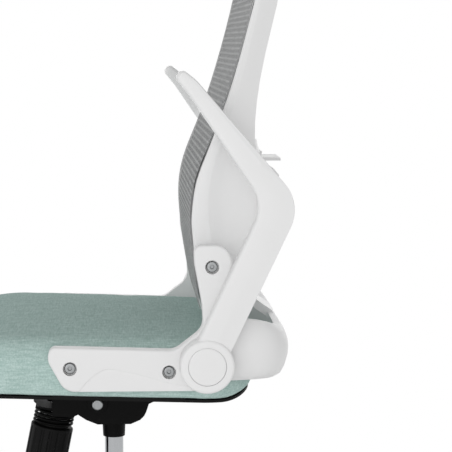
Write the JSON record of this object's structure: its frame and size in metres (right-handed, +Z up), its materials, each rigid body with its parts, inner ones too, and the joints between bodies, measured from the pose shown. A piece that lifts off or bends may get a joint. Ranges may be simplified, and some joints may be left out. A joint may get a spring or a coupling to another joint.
{
  "type": "office chair",
  "caption": "Swivel task chair with a white frame, mesh back with lumbar slider, mint fabric seat, flip-up arms, tilt mechanism, gas lift and five-star base on casters.",
  "frame": {"origin": "on the floor under the axis of the gas lift", "axes": "+Z up, the sitter faces -Y, +X is the sitter's left"},
  "size_m": [0.5979, 0.5774, 1.053],
  "materials": {
    "white_nylon": "satin moulded",
    "white_moulding": "satin moulded",
    "seat_fabric": "woven mint green cloth over foam",
    "back_mesh": "knitted grey mesh",
    "black_plastic": "fine textured",
    "black_steel": "powder coated",
    "chrome": "polished",
    "zinc_steel": "zinc plated",
    "grey_plastic": "satin moulded",
    "seal_rubber": "matte",
    "wheel_nylon": "satin moulded"
  },
  "bodies": {
    "base": {"star_base": "white_nylon", "column_tube": "black_steel", "column_bush": "black_plastic", "thrust_bearing": "zinc_steel", "caster_stems": "zinc_steel"},
    "rod": {"piston_rod": "zinc_steel", "rod_clip": "zinc_steel"},
    "lift": {"pressure_tube": "chrome", "tube_seal": "seal_rubber", "mount_cone": "black_steel", "tilt_housing": "black_steel", "tilt_axle": "zinc_steel", "tension_spring": "black_steel", "spring_washer": "black_steel", "lever_pin": "zinc_steel"},
    "release_pin": {"release_pin": "zinc_steel"},
    "lever": {"lever_rod": "black_steel", "lever_paddle": "black_plastic"},
    "seat": {"seat_plate": "black_steel", "plate_screws": "zinc_steel", "tension_bolt": "zinc_steel", "seat_pan": "black_plastic", "seat_cushion": "seat_fabric", "bracket_left": "white_nylon", "bracket_right": "white_nylon", "bracket_bolts": "zinc_steel", "pivot_pins": "zinc_steel", "pivot_nuts": "zinc_steel", "friction_washers": "grey_plastic", "back_frame": "white_nylon", "back_mesh": "back_mesh", "back_spine": "white_nylon"},
    "knob": {"tension_knob": "black_plastic"},
    "arm_left": {"arm_left": "white_moulding", "pivot_cap_left": "white_moulding"},
    "arm_right": {"arm_right": "white_moulding", "pivot_cap_right": "white_moulding"},
    "lumbar": {"lumbar_slider": "white_moulding", "lumbar_pad": "grey_plastic"},
    "caster_1": {"caster_hood_1": "black_plastic", "caster_axle_1": "zinc_steel"},
    "caster_wheel_1_left": {"caster_wheel_1_left": "wheel_nylon"},
    "caster_wheel_1_right": {"caster_wheel_1_right": "wheel_nylon"},
    "caster_2": {"caster_hood_2": "black_plastic", "caster_axle_2": "zinc_steel"},
    "caster_wheel_2_left": {"caster_wheel_2_left": "wheel_nylon"},
    "caster_wheel_2_right": {"caster_wheel_2_right": "wheel_nylon"},
    "caster_3": {"caster_hood_3": "black_plastic", "caster_axle_3": "zinc_steel"},
    "caster_wheel_3_left": {"caster_wheel_3_left": "wheel_nylon"},
    "caster_wheel_3_right": {"caster_wheel_3_right": "wheel_nylon"},
    "caster_4": {"caster_hood_4": "black_plastic", "caster_axle_4": "zinc_steel"},
    "caster_wheel_4_left": {"caster_wheel_4_left": "wheel_nylon"},
    "caster_wheel_4_right": {"caster_wheel_4_right": "wheel_nylon"},
    "caster_5": {"caster_hood_5": "black_plastic", "caster_axle_5": "zinc_steel"},
    "caster_wheel_5_left": {"caster_wheel_5_left": "wheel_nylon"},
    "caster_wheel_5_right": {"caster_wheel_5_right": "wheel_nylon"}
  },
  "joints": [
    {"name": "seat_swivel", "type": "hinge", "parent": "base", "child": "rod", "pos_m": [0, 0, 0.1], "axis": [0, 0, 1], "continuous": true},
    {"name": "height_adjust", "type": "slide", "parent": "rod", "child": "lift", "axis": [0, 0, 1], "range_m": [-0.04, 0.06]},
    {"name": "height_lever", "type": "hinge", "parent": "lift", "child": "lever", "pos_m": [-0.052, 0, 0.3453], "axis": [0, 1, 0], "range_deg": [0, 4], "stiffness_Nm_per_rad": 2, "springref_deg": -2.86},
    {"name": "release_travel", "type": "slide", "parent": "lift", "child": "release_pin", "axis": [0, 0, 1], "range_m": [-0.0045, 0]},
    {"name": "seat_tilt", "type": "hinge", "parent": "lift", "child": "seat", "pos_m": [0, -0.024, 0.331], "axis": [-1, 0, 0], "range_deg": [0, 12], "stiffness_Nm_per_rad": 150, "springref_deg": -17.19, "deforming": ["tension_spring"]},
    {"name": "tension_turn", "type": "hinge", "parent": "seat", "child": "knob", "pos_m": [0, -0.093, 0.2875], "axis": [0, -0.1994, -0.9799], "range_deg": [-720, 720]},
    {"name": "arm_left_flip", "type": "hinge", "parent": "seat", "child": "arm_left", "pos_m": [0, 0.127, 0.427], "axis": [-1, 0, 0], "range_deg": [-55, 35]},
    {"name": "arm_right_flip", "type": "hinge", "parent": "seat", "child": "arm_right", "pos_m": [0, 0.127, 0.427], "axis": [-1, 0, 0], "range_deg": [-55, 35]},
    {"name": "lumbar_height", "type": "slide", "parent": "seat", "child": "lumbar", "axis": [0, 0.2453, 0.9695], "range_m": [-0.012, 0.012]},
    {"name": "caster_1_swivel", "type": "hinge", "parent": "base", "child": "caster_1", "pos_m": [0, -0.29, 0.06], "axis": [0, 0, 1], "continuous": true},
    {"name": "wheel_1_left_roll", "type": "hinge", "parent": "caster_1", "child": "caster_wheel_1_left", "pos_m": [-0.00845, -0.27187, 0.0275], "axis": [0.9063, 0.4226, 0], "continuous": true},
    {"name": "wheel_1_right_roll", "type": "hinge", "parent": "caster_1", "child": "caster_wheel_1_right", "pos_m": [-0.00845, -0.27187, 0.0275], "axis": [0.9063, 0.4226, 0], "continuous": true},
    {"name": "caster_2_swivel", "type": "hinge", "parent": "base", "child": "caster_2", "pos_m": [0.27581, -0.08962, 0.06], "axis": [0, 0, 1], "continuous": true},
    {"name": "wheel_2_left_roll", "type": "hinge", "parent": "caster_2", "child": "caster_wheel_2_left", "pos_m": [0.25595, -0.09205, 0.0275], "axis": [-0.1219, 0.9925, 0], "continuous": true},
    {"name": "wheel_2_right_roll", "type": "hinge", "parent": "caster_2", "child": "caster_wheel_2_right", "pos_m": [0.25595, -0.09205, 0.0275], "axis": [-0.1219, 0.9925, 0], "continuous": true},
    {"name": "caster_3_swivel", "type": "hinge", "parent": "base", "child": "caster_3", "pos_m": [0.17046, 0.23461, 0.06], "axis": [0, 0, 1], "continuous": true},
    {"name": "wheel_3_left_roll", "type": "hinge", "parent": "caster_3", "child": "caster_wheel_3_left", "pos_m": [0.16664, 0.21498, 0.0275], "axis": [-0.9816, 0.1908, 0], "continuous": true},
    {"name": "wheel_3_right_roll", "type": "hinge", "parent": "caster_3", "child": "caster_wheel_3_right", "pos_m": [0.16664, 0.21498, 0.0275], "axis": [-0.9816, 0.1908, 0], "continuous": true},
    {"name": "caster_4_swivel", "type": "hinge", "parent": "base", "child": "caster_4", "pos_m": [-0.17046, 0.23461, 0.06], "axis": [0, 0, 1], "continuous": true},
    {"name": "wheel_4_left_roll", "type": "hinge", "parent": "caster_4", "child": "caster_wheel_4_left", "pos_m": [-0.15296, 0.22492, 0.0275], "axis": [-0.4848, -0.8746, 0], "continuous": true},
    {"name": "wheel_4_right_roll", "type": "hinge", "parent": "caster_4", "child": "caster_wheel_4_right", "pos_m": [-0.15296, 0.22492, 0.0275], "axis": [-0.4848, -0.8746, 0], "continuous": true},
    {"name": "caster_5_swivel", "type": "hinge", "parent": "base", "child": "caster_5", "pos_m": [-0.27581, -0.08962, 0.06], "axis": [0, 0, 1], "continuous": true},
    {"name": "wheel_5_left_roll", "type": "hinge", "parent": "caster_5", "child": "caster_wheel_5_left", "pos_m": [-0.26118, -0.07598, 0.0275], "axis": [0.682, -0.7314, 0], "continuous": true},
    {"name": "wheel_5_right_roll", "type": "hinge", "parent": "caster_5", "child": "caster_wheel_5_right", "pos_m": [-0.26118, -0.07598, 0.0275], "axis": [0.682, -0.7314, 0], "continuous": true}
  ],
  "couplings": [
    {"joint": "release_travel", "follows": "height_lever", "m_per_rad": -0.052}
  ]
}
